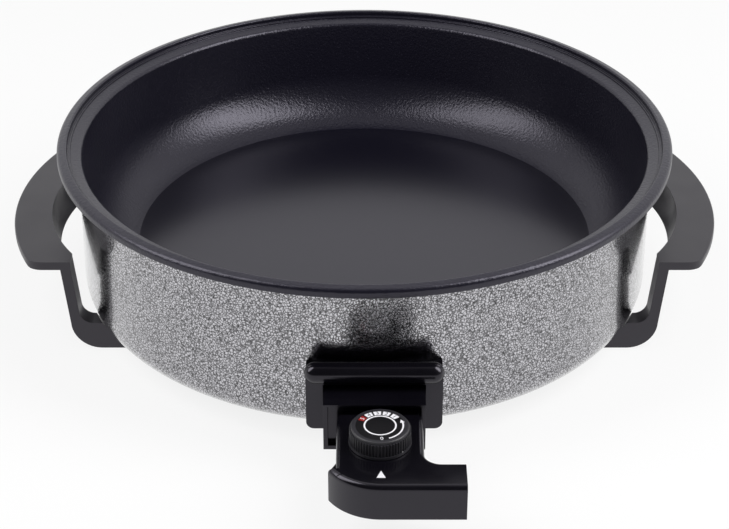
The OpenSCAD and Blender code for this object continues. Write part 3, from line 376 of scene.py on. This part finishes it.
def makeDialPrint():
    white, red, black = bmesh.new(), bmesh.new(), bmesh.new()
    dialStrip(white, *dial["ring"], 0, 360)
    inner, outer = dial["fields"]
    half = dial["fieldTurn"] / 2
    for i, angle in enumerate(dial["fieldAngles"]):
        last = i == len(dial["fieldAngles"]) - 1
        dialStrip(red if last else white, inner, outer, angle - half, angle + half)
        dialText(white if last else black, str(i + 1), (inner + outer) / 2, angle, dial["digitRise"])
    dialStrip(white, *dial["arrow"], *dial["arrowAngles"])
    low, high, tip = dial["arrowHead"]
    tail = dial["arrowAngles"][1]
    points = [(low, tail), (high, tail), ((low + high) / 2, tip)]
    white.faces.new([white.verts.new(dialSpot(r, angle, dial["rise"])) for r, angle in points])
    dialText(white, "0", *dial["zero"], dial["rise"])
    for bm, name, ink in ((white, "dialWhitePrint", whiteInk), (red, "dialRedField", redInk),
                          (black, "dialBlackDigits", blackInk)):
        bmesh.ops.recalc_face_normals(bm, faces=bm.faces)
        for f in bm.faces:
            if f.normal.z < 0:
                f.normal_flip()
        finishPiece(bm, name, ink, "knob")


# pointer printed on the case in front of the dial, its tip towards the dial; in mm from the pan's axis
pointer = {"x": 9.6, "tip": -282.8, "back": -289.6, "half": 2.7, "rise": 0.03}


def makePointer(p):
    bm = bmesh.new()
    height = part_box("thermostat_case")[1].z + p["rise"] * mm
    corners = [(p["x"], p["tip"]), (p["x"] - p["half"], p["back"]), (p["x"] + p["half"], p["back"])]
    bm.faces.new([bm.verts.new((x * mm, axisY + y * mm, height)) for x, y in corners])
    finishPiece(bm, "pointerMark", whiteInk, "thermostat")


makeDialPrint()
makePointer(pointer)

# studio: white paper that glows a little, a white wall behind that fades to a dark one in front, two tall soft boxes
# aimed at a point over the pan's axis; front and back are a direction's y and the strength there
studio = {"paper": "#f4f4f4", "paperHalf": 4.0, "paperRoughness": 0.9, "glow": 0.84, "world": 0.18,
          "front": (-0.35, 0.06), "back": (0.65, 1.0), "horizon": 0.12, "aim": 0.05, "boxSize": (0.8, 1.85),
          "boxes": [((-1.1, -0.28, 1.2), 16.5), ((1.14, -0.31, 1.2), 24.0)]}
whiteLight = (1, 1, 1, 1)


def seenRay(tree):
    # 1 for what the camera sees straight, in a reflection or through a clear piece
    path = addNode(tree, "LightPath")
    direct = addNode(tree, "Math", {"operation": "MAXIMUM"},
                     {0: path.outputs["Is Camera Ray"], 1: path.outputs["Is Glossy Ray"]})
    return addNode(tree, "Math", {"operation": "MAXIMUM"},
                   {0: direct.outputs[0], 1: path.outputs["Is Transmission Ray"]}).outputs[0]


def makeFloor(s):
    bm = bmesh.new()
    bmesh.ops.create_grid(bm, x_segments=2, y_segments=2, size=s["paperHalf"])
    mesh = bpy.data.meshes.new("studioFloor")
    bm.to_mesh(mesh)
    bm.free()
    floor = bpy.data.objects.new("studioFloor", mesh)
    bpy.context.scene.collection.objects.link(floor)
    material, tree, surface = startMaterial("paperSweep", {
        "Base Color": srgb(s["paper"]), "Roughness": s["paperRoughness"]})[:3]
    glow = addNode(tree, "Emission", {"Color": whiteLight, "Strength": 1.0})
    share = addNode(tree, "Math", {"operation": "MULTIPLY", 1: s["glow"]}, {0: seenRay(tree)})
    mix = addNode(tree, "MixShader", {}, {0: share.outputs[0], 1: surface.outputs[0], 2: glow.outputs[0]})
    tree.links.new(mix.outputs[0], tree.nodes["Material Output"].inputs["Surface"])
    mesh.materials.append(material)


def makeWorld(s):
    world = bpy.data.worlds.new("studioWorld")
    bpy.context.scene.world = world
    world.use_nodes = True
    tree = world.node_tree
    tree.nodes.clear()
    light = addNode(tree, "Background", {"Color": whiteLight, "Strength": s["world"]})
    way = addNode(tree, "SeparateXYZ", links={0: addNode(tree, "TexCoord").outputs["Generated"]})
    wall = addNode(tree, "MapRange", {"interpolation_type": "SMOOTHSTEP", "From Min": s["front"][0],
                                      "From Max": s["back"][0], "To Min": s["front"][1], "To Max": s["back"][1]},
                   {"Value": way.outputs["Y"]})
    low = addNode(tree, "MapRange", {"From Min": 0.0, "From Max": s["horizon"], "To Min": 1.0, "To Max": 0.0},
                  {"Value": way.outputs["Z"]})
    fall = addNode(tree, "Math", {"operation": "MAXIMUM"}, {0: wall.outputs[0], 1: low.outputs[0]})
    shown = addNode(tree, "Background", {"Color": whiteLight}, {"Strength": fall.outputs[0]})
    mix = addNode(tree, "MixShader", {}, {0: seenRay(tree), 1: light.outputs[0], 2: shown.outputs[0]})
    addNode(tree, "OutputWorld", links={"Surface": mix.outputs[0]})


def makeBoxes(s):
    for place, power in s["boxes"]:
        lamp = bpy.data.lights.new("softBox", "AREA")
        lamp.shape, lamp.energy = "ELLIPSE", power
        lamp.size, lamp.size_y = s["boxSize"]
        holder = bpy.data.objects.new("softBox", lamp)
        holder.location = Vector(place) + Vector((0, axisY, 0))
        aim = Vector((0, 0, s["aim"])) - Vector(place)
        holder.rotation_euler = aim.to_track_quat("-Z", "Y").to_euler()
        holder.visible_camera = False
        bpy.context.scene.collection.objects.link(holder)


# camera fitted to the rim, floor and jacket outlines in the photograph; back is counted from the pan's axis in metres
view = {"back": 1.13686, "height": 0.69953, "tilt": 58.99, "lens": 91.2, "sensor": 36.0}


def makeCamera(v):
    camera = bpy.data.cameras.new("camera")
    camera.sensor_width, camera.lens = v["sensor"], v["lens"]
    holder = bpy.data.objects.new("camera", camera)
    holder.location = (0, axisY - v["back"], v["height"])
    holder.rotation_euler = (radians(v["tilt"]), 0, 0)
    bpy.context.scene.collection.objects.link(holder)
    bpy.context.scene.camera = holder


makeFloor(studio)
makeWorld(studio)
makeBoxes(studio)
makeCamera(view)
bpy.context.scene.view_settings.view_transform = "Standard"
print("studio and camera ready")
